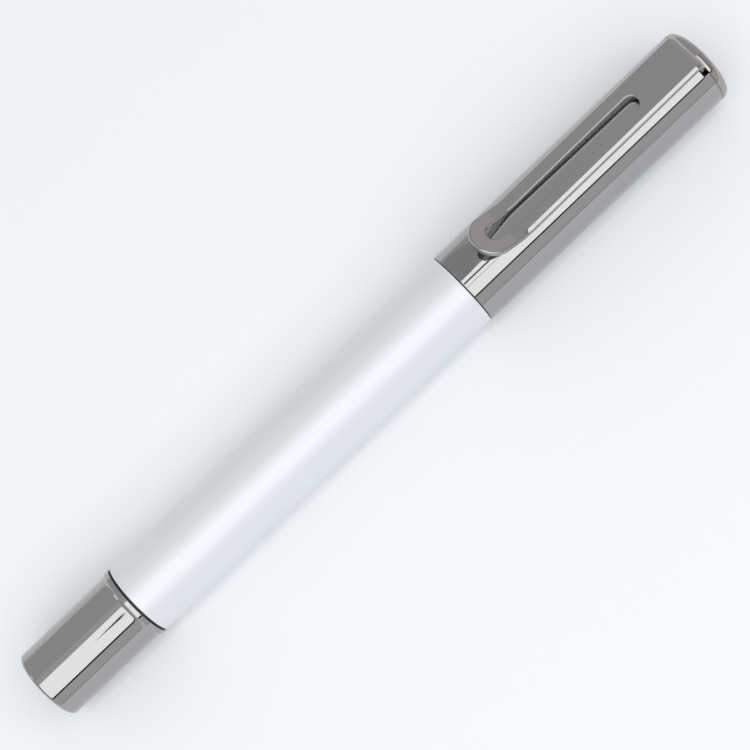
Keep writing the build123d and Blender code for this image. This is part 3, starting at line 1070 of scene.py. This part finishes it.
@dataclass
class NibSeal:
    """The cup and pad that close over the nib, and the spring behind them."""

    cup: Span = field(default_factory=lambda: Span.of("seal_cup"))
    pad: Span = field(default_factory=lambda: Span.of("seal_pad"))
    coil: Span = field(default_factory=lambda: Span.of("seal_spring"))
    coil_wire: float = 0.45 * MM
    coil_turns: float = 3.5
    coil_steps: int = 48
    wire_steps: int = 12
    cup_radius: float = 4.2 * MM
    bore: float = 3.75 * MM
    flange_length: float = 1.2 * MM
    floor_thickness: float = 1.0 * MM
    ease: float = 0.12 * MM

    def build(self) -> None:
        """Builds and dresses the sub-assembly."""
        place(self.closing_cup(), Finishes.LINER, "seal", "seal_cup")
        place(self.rubber_pad(), Finishes.SEAL_RUBBER, "seal", "seal_pad")
        spring = self.coil_spring()
        place(spring, Finishes.STEEL, "cap", "seal_spring")
        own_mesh(spring)

    def closing_cup(self) -> bpy.types.Object:
        """The moulded cup."""
        flange = self.cup.end - self.flange_length
        floor = self.cup.end - self.floor_thickness
        outline = (
            Outline(floor, 0)
            .to(floor, self.bore)
            .to(self.cup.start, self.bore, self.ease)
            .to(self.cup.start, self.cup_radius, self.ease)
            .to(flange, self.cup_radius)
            .to(flange, self.cup.radius, self.ease)
            .to(self.cup.end, self.cup.radius, self.ease)
            .to(self.cup.end, 0)
        )
        return turned("seal_closing_cup", outline, closed=False)

    def rubber_pad(self) -> bpy.types.Object:
        """The soft pad in the cup's floor."""
        outline = (
            Outline(self.pad.start, 0)
            .to(self.pad.start, self.pad.radius, 3 * self.ease)
            .to(self.pad.end, self.pad.radius)
            .to(self.pad.end, 0)
        )
        return turned("seal_rubber_pad", outline, closed=False)

    def coil_spring(self) -> bpy.types.Object:
        """The coil spring, as round wire along a helix."""
        thick = self.coil_wire / 2
        radius = self.coil.radius - thick
        run = self.coil.end - self.coil.start - 2 * thick
        lean = math.atan(run / (self.coil_turns * FULL_TURN * radius))
        height = axis_height()
        count = round(self.coil_turns * self.coil_steps)
        mesh = bmesh.new()
        rings = []
        for step in range(count + 1):
            angle = FULL_TURN * self.coil_turns * step / count
            out = Vector((0, math.sin(angle), math.cos(angle)))
            around = Vector((0, out.z, -out.y))
            across = Vector((1, 0, 0)) * math.cos(lean) - around * math.sin(lean)
            middle = Vector((self.coil.start + thick + run * step / count, 0, height)) + out * radius
            turns = (FULL_TURN * corner / self.wire_steps for corner in range(self.wire_steps))
            points = (middle + thick * (out * math.cos(t) + across * math.sin(t)) for t in turns)
            rings.append([mesh.verts.new(point) for point in points])
        for one, other in zip(rings, rings[1:]):
            for corner in range(self.wire_steps):
                after = (corner + 1) % self.wire_steps
                mesh.faces.new((one[corner], one[after], other[after], other[corner]))
        mesh.faces.new(rings[0])
        mesh.faces.new(rings[-1])
        return finish_mesh("seal_coil_spring", mesh)


@dataclass
class Clip:
    """The plated clip: a slotted strip whose round tip curls up and whose root bends into the cap."""

    thickness: float = 0.9 * MM
    low_lead: float = 6.95 * MM
    low_height: float = 7.45 * MM
    root_height: float = 8.2 * MM
    low_radius: float = 10.0 * MM
    root_radius: float = 0.95 * MM
    slot_lead: float = 2.6 * MM
    slot_length: float = 30.9 * MM
    slot_width: float = 2.7 * MM
    slot_edge: float = 0.17 * MM
    edge: float = 0.28 * MM
    under_edge: float = 0.15 * MM
    roll_width: float = 1.0 * MM
    roll_drop: float = 0.45 * MM
    roll_lead: float = 6.9 * MM
    roll_length: float = 0.9 * MM
    bend_steps: int = 16
    tip_steps: int = 48

    def __post_init__(self) -> None:
        """Works out the line that the middle of the strip follows."""
        low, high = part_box("clip")
        self.half = self.thickness / 2
        self.width = high.y - low.y
        level = axis_height() - self.half
        corner = Vector((low.x + self.low_lead, level + self.low_height))
        root = Vector((high.x - self.half, level + self.root_height))
        rise = math.atan2(root.y - corner.y, root.x - corner.x)
        fall = math.atan2(high.z - self.half - corner.y, self.low_lead)
        self.tip = Vector((low.x + self.half * math.sin(fall), high.z - self.half * math.cos(fall)))
        self.heading = -fall
        tip_bend, root_bend = fall + rise, -(math.pi / 2 + rise)
        tip_cut = self.low_radius * math.tan(tip_bend / 2)
        root_cut = self.root_radius * math.tan(-root_bend / 2)
        self.stretches = (
            ((corner - self.tip).length - tip_cut, 0.0),
            (self.low_radius * tip_bend, tip_bend),
            ((root - corner).length - tip_cut - root_cut, 0.0),
            (-self.root_radius * root_bend, root_bend),
            (root.y - root_cut - low.z, 0.0),
        )
        self.length = sum(length for length, _ in self.stretches)

    def build(self) -> None:
        """Builds and dresses the clip."""
        place(self.strip(), Finishes.GUNMETAL, "clip", "clip")

    def _bent(self, flat: Vector) -> Vector:
        """Takes a point of the flat strip to where it belongs on the pen.

        Args:
            flat: Distance from the tip, distance across towards +Y, and height above the middle.

        Returns:
            The point.
        """
        spot, heading, left = self.tip.copy(), self.heading, flat.x
        for length, turn in self.stretches:
            part = min(left, length)
            share = turn * part / length
            if turn:
                radius = length / turn
                spot.x += radius * (math.sin(heading + share) - math.sin(heading))
                spot.y += radius * (math.cos(heading) - math.cos(heading + share))
            else:
                spot += part * Vector((math.cos(heading), math.sin(heading)))
            heading += share
            left -= part
        spot += flat.z * Vector((-math.sin(heading), math.cos(heading)))
        return Vector((spot.x, flat.y, spot.y))

    def _rim(self, width: float, drop: float) -> list[Point]:
        """The strip's side from its underside to its top, as inset against height.

        Args:
            width: How far in from the side its upper rounding begins.
            drop: How far down the side that rounding reaches.

        Returns:
            The points.
        """
        rim = [(self.under_edge + HOLD, -self.half)]
        for step in range(ROUND_STEPS // 2 + 1):
            turn = math.pi * step / ROUND_STEPS
            inset = self.under_edge * (1 - math.sin(turn))
            rim.append((inset, -self.half + self.under_edge * (1 - math.cos(turn))))
        for step in range(2 * ROUND_STEPS + 1):
            turn = math.pi / 4 * step / ROUND_STEPS
            rim.append((width * (1 - math.cos(turn)), self.half - drop * (1 - math.sin(turn))))
        rim.append((width + HOLD, self.half))
        return rim

    def _rolled(self, along: float) -> list[Point]:
        """The rim at a distance from the tip: a small round near the tip, then a wide one."""
        share = min(max((along - self.roll_lead) / self.roll_length, 0.0), 1.0)
        share = share * share * (3 - 2 * share)
        width = self.edge + share * (self.roll_width - self.edge)
        return self._rim(width, self.edge + share * (self.roll_drop - self.edge))

    def _column(
        self, mesh: bmesh.types.BMesh, spot: Vector, inwards: Vector, rim: list[Point]
    ) -> list:
        """Adds the vertices of the strip's side at one place.

        Args:
            mesh: The flat strip's mesh.
            spot: The place on the strip's outline.
            inwards: The direction into the strip.
            rim: The side's points, as inset against height.

        Returns:
            The vertices, from the underside to the top.
        """
        column = []
        for inset, height in rim:
            shifted = spot + inwards * inset
            column.append(mesh.verts.new((shifted.x, shifted.y, height)))
        return column

    def _outside(self, mesh: bmesh.types.BMesh) -> list[list]:
        """Adds the strip's side, from the foot round the tip and back to the foot."""
        radius, steps = self.width / 2, 2 * ROUND_STEPS
        rolling = [self.roll_lead + self.roll_length * step / steps for step in range(steps + 1)]
        alongs = [self.length, *reversed(rolling)]
        places = [(Vector((s, radius)), Vector((0, -1)), self._rolled(s)) for s in alongs]
        for step in range(self.tip_steps + 1):
            angle = math.pi / 2 + math.pi * step / self.tip_steps
            out = Vector((math.cos(angle), math.sin(angle)))
            places.append((Vector((radius, 0)) + out * radius, -out, self._rolled(0)))
        places += [(Vector((s, -radius)), Vector((0, 1)), self._rolled(s)) for s in alongs[::-1]]
        return [self._column(mesh, *place_on_side) for place_on_side in places]

    def _slot(self, mesh: bmesh.types.BMesh) -> list[list]:
        """Adds the slot's wall, all the way round."""
        radius = self.slot_width / 2
        first = self.slot_lead + radius
        last = self.slot_lead + self.slot_length - radius
        rim = self._rim(self.slot_edge, self.slot_edge)
        columns = []
        for centre, start in ((first, math.pi / 2), (last, -math.pi / 2)):
            for step in range(self.tip_steps + 1):
                angle = start + math.pi * step / self.tip_steps
                out = Vector((math.cos(angle), math.sin(angle)))
                columns.append(self._column(mesh, Vector((centre, 0)) + out * radius, out, rim))
        return columns

    def _skin(self, mesh: bmesh.types.BMesh, columns: list[list]) -> None:
        """Joins neighbouring columns of vertices with faces."""
        for one, other in zip(columns, columns[1:]):
            for index in range(len(one) - 1):
                mesh.faces.new((one[index], one[index + 1], other[index + 1], other[index]))

    def _fill(self, mesh: bmesh.types.BMesh, outer: list, inner: list) -> None:
        """Fills the flat between the strip's side and its slot.

        Args:
            mesh: The flat strip's mesh.
            outer: Vertices along the side, open at the foot.
            inner: Vertices around the slot.
        """
        edges = []
        for loop in (outer, inner):
            for one, other in zip(loop, loop[1:] + loop[:1]):
                edges.append(mesh.edges.get((one, other)) or mesh.edges.new((one, other)))
        bmesh.ops.triangle_fill(mesh, edges=edges, use_beauty=True)

    def _cut(self, mesh: bmesh.types.BMesh) -> None:
        """Cuts across the flat strip where it is going to bend."""
        start, cuts = 0.0, []
        for length, turn in self.stretches:
            if turn:
                cuts += [start - HOLD, start + length + HOLD]
                cuts += [start + length * step / self.bend_steps for step in range(self.bend_steps + 1)]
            start += length
        for cut in cuts:
            everything = [*mesh.verts, *mesh.edges, *mesh.faces]
            bmesh.ops.bisect_plane(mesh, geom=everything, plane_co=(cut, 0, 0), plane_no=(1, 0, 0))

    def strip(self) -> bpy.types.Object:
        """The whole clip, made flat and then bent along its line."""
        mesh = bmesh.new()
        side, slot = self._outside(mesh), self._slot(mesh)
        self._skin(mesh, side)
        self._skin(mesh, [*slot, slot[0]])
        for index in (0, -1):
            self._fill(mesh, [column[index] for column in side], [column[index] for column in slot])
        mesh.faces.new(side[0] + side[-1][::-1])
        self._cut(mesh)
        for vertex in mesh.verts:
            vertex.co = self._bent(vertex.co)
        return finish_mesh("clip_strip", mesh)


# ---------------------------------------------------------------- studio


@dataclass(frozen=True)
class Panel:
    """A soft light: where it stands around the pen, its size and its brightness."""

    name: str
    low: float
    high: float
    brightness: float
    length: float = 1.6
    distance: float = 0.8
    color: Color = (1.0, 1.0, 1.0)


@dataclass(frozen=True)
class Card:
    """A sheet that glows with its own colour but shows only in reflections, lighting and shading
    nothing: a painted reflection, dark ones as painted dark bands or painted shade, tinted or bright
    ones as painted reflected light.
    """

    name: str
    low: float
    high: float
    left: float
    right: float
    color: Color
    distance: float = 0.7
    taper: float = 1.0


def facing(spot: Vector, target: Vector, side: Vector) -> Matrix:
    """Where a thing stands whose back points away from a target.

    Args:
        spot: Its place.
        target: What it faces.
        side: The direction its own X follows as nearly as it can.

    Returns:
        Its world matrix.
    """
    back = (spot - target).normalized()
    across = (side - side.project(back)).normalized()
    matrix = Matrix((across, back.cross(across), back)).transposed().to_4x4()
    matrix.translation = spot
    return matrix


@dataclass
class Studio:
    """The floor, the soft lights, the cards and the camera."""

    tilt: float = math.radians(18.8)
    turn: float = math.radians(43.7)
    distance: float = 0.276
    lens: float = 86.68
    sensor: float = 36.0
    aim_along: float = -0.115 * MM
    aim_across: float = -0.254 * MM
    floor_size: float = 8.0
    floor_color: Color = (0.885, 0.905, 0.922)
    floor_roughness: float = 0.9
    floor_specular: float = 0.1
    ambient: float = 0.59
    ambient_color: Color = (1.0, 0.995, 1.0)
    lean: float = 0.26
    backdrop: Color = (0.9, 0.92, 0.935)
    panels: tuple[Panel, ...] = (
        Panel("overhead", 0.2, 56.0, 1.33, color=(0.985, 1.0, 1.015)),
        Panel("side", 59.8, 88.8, 0.13),
    )
    # Each card paints light or shade into reflections only: painted dark bands, painted streaks and
    # painted reflected light.
    cards: tuple[Card, ...] = (
        Card("flag", 55.4, 60.2, -0.8, 0.8, (0.0, 0.0, 0.0)),
        Card("spill", -15.2, 1.6, -0.8, -0.06, (0.7, 0.69, 0.7)),
        Card("shade", -81.0, 1.2, -0.05, 0.076, (0.46, 0.45, 0.445)),
        Card("end", -2.0, 56.0, 0.26, 0.9, (0.44, 0.45, 0.47)),
        Card("far_end", -80.0, -2.0, 0.6, 1.4, (0.68, 0.65, 0.68)),
        # horizon: painted shade of the shaded floor beside the pen, seen only in reflections low on the
        # -Y side.
        Card("horizon", 84.0, 92.6, -0.14, 0.14, (0.66, 0.655, 0.68), distance=0.12),
        Card("window", -57.2, -33.2, -0.85, -0.6, (2.2, 2.2, 2.2), distance=0.55),
        Card("needle", 18.4, 25.6, -0.207, -0.185, (0.02, 0.04, 0.06), taper=0.0),
        Card("upper_streak", 10.4, 14.8, 0.066, 0.09, (0.16, 0.155, 0.155)),
        Card("lower_streak", 23.6, 24.8, 0.066, 0.1, (0.3, 0.29, 0.29)),
    )

    def build(self) -> None:
        """Sets up the studio."""
        self.target = Vector((0, 0, axis_height()))
        scene = bpy.context.scene
        scene.view_settings.view_transform = "Standard"
        scene.view_settings.look = "None"
        self._world()
        self._floor()
        for panel in self.panels:
            self._light(panel)
        for card in self.cards:
            self._card(card)
        scene.camera = self._camera()

    def _around(self, angle: float, distance: float, x: float = 0.0) -> Vector:
        """A point at an angle in degrees from straight up, towards -Y, around the pen."""
        turn = math.radians(angle)
        return self.target + Vector((x, -math.sin(turn) * distance, math.cos(turn) * distance))

    def _world(self) -> None:
        """A grey surround: even in reflections, brighter from +Y on matt surfaces, pale behind."""
        world = bpy.data.worlds.new("studio")
        world.use_nodes = True
        world.cycles.sampling_method = "NONE"
        world.node_tree.nodes.clear()
        wiring = Wiring(world.node_tree)
        grey = tuple(self.ambient * part for part in self.ambient_color)
        direction = wiring.add("ShaderNodeTexCoord").outputs["Generated"]
        sideways = wiring.add("ShaderNodeSeparateXYZ", {0: direction}).outputs["Y"]
        strength = wiring.math("ADD", wiring.math("MULTIPLY", sideways, self.lean), 1.0)
        room = wiring.add("ShaderNodeBackground", {"Color": (*grey, 1.0)})
        fill = wiring.add("ShaderNodeBackground", {"Color": (*grey, 1.0), "Strength": strength})
        pale = wiring.add("ShaderNodeBackground", {"Color": (*self.backdrop, 1.0)})
        ray = wiring.add("ShaderNodeLightPath").outputs
        lit = wiring.add(
            "ShaderNodeMixShader", {0: ray["Is Diffuse Ray"], 1: room.outputs[0], 2: fill.outputs[0]}
        )
        mixed = wiring.add(
            "ShaderNodeMixShader", {0: ray["Is Camera Ray"], 1: lit.outputs[0], 2: pale.outputs[0]}
        )
        wiring.add("ShaderNodeOutputWorld", {"Surface": mixed.outputs[0]})
        bpy.context.scene.world = world

    def _floor(self) -> None:
        """The pale floor."""
        mesh = bmesh.new()
        bmesh.ops.create_grid(mesh, x_segments=1, y_segments=1, size=self.floor_size / 2)
        floor = link("floor", to_data("floor", mesh))
        material = bpy.data.materials.new("floor")
        material.use_nodes = True
        shader = material.node_tree.nodes["Principled BSDF"]
        shader.inputs["Base Color"].default_value = (*self.floor_color, 1.0)
        shader.inputs["Roughness"].default_value = self.floor_roughness
        shader.inputs["Specular IOR Level"].default_value = self.floor_specular
        floor.data.materials.append(material)

    def _light(self, panel: Panel) -> None:
        """Hangs a soft light."""
        half = math.radians(panel.high - panel.low) / 2
        size = 2 * panel.distance * math.tan(half)
        light = bpy.data.lights.new(panel.name, "AREA")
        light.shape = "RECTANGLE"
        light.size = panel.length
        light.size_y = size
        light.energy = math.pi * panel.brightness * panel.length * size
        light.color = panel.color
        lamp = link(panel.name, light)
        spot = self._around((panel.low + panel.high) / 2, panel.distance)
        lamp.matrix_world = facing(spot, self.target, Vector((1, 0, 0)))
        lamp.visible_camera = False

    def _card(self, card: Card) -> None:
        """Stands a card where only reflections show it."""
        mesh = bmesh.new()
        middle = (card.low + card.high) / 2
        half = (card.high - card.low) / 2
        narrow = half * card.taper
        left = [self._around(middle + part, card.distance, card.left) for part in (-narrow, narrow)]
        right = [self._around(middle + part, card.distance, card.right) for part in (half, -half)]
        mesh.faces.new([mesh.verts.new(corner) for corner in left + right])
        board = link(f"card_{card.name}", to_data(card.name, mesh))
        material = bpy.data.materials.new(f"card {card.name}")
        material.use_nodes = True
        material.node_tree.nodes.clear()
        wiring = Wiring(material.node_tree)
        glow = wiring.add("ShaderNodeEmission", {"Color": (*card.color, 1.0), "Strength": 1.0})
        wiring.add("ShaderNodeOutputMaterial", {"Surface": glow.outputs[0]})
        board.data.materials.append(material)
        board.visible_camera = False
        board.visible_diffuse = False
        board.visible_shadow = False

    def _camera(self) -> bpy.types.Object:
        """The camera, at its tilt and turn above the pen."""
        data = bpy.data.cameras.new("camera")
        data.lens = self.lens
        data.sensor_width = self.sensor
        camera = link("camera", data)
        level = Vector((0, math.cos(self.tilt), math.sin(self.tilt)))
        offset = Vector((self.aim_along, 0, 0)) + level * self.aim_across
        spot = self._around(math.degrees(self.tilt), self.distance) + offset
        right = Vector((math.cos(self.turn), 0, 0)) - level * math.sin(self.turn)
        camera.matrix_world = facing(spot, self.target + offset, right)
        return camera


def main() -> None:
    """Builds the pen and the studio in order, and logs each sub-assembly and piece."""
    logging.basicConfig(level=logging.INFO, format="%(message)s")
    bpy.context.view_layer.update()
    for assembly in (Tail(), Barrel(), GripSection(), NibUnit(), Cap(), NibSeal(), Clip()):
        LOG.info("-- %s", type(assembly).__name__)
        assembly.build()
    Studio().build()


if __name__ == "__main__":
    main()
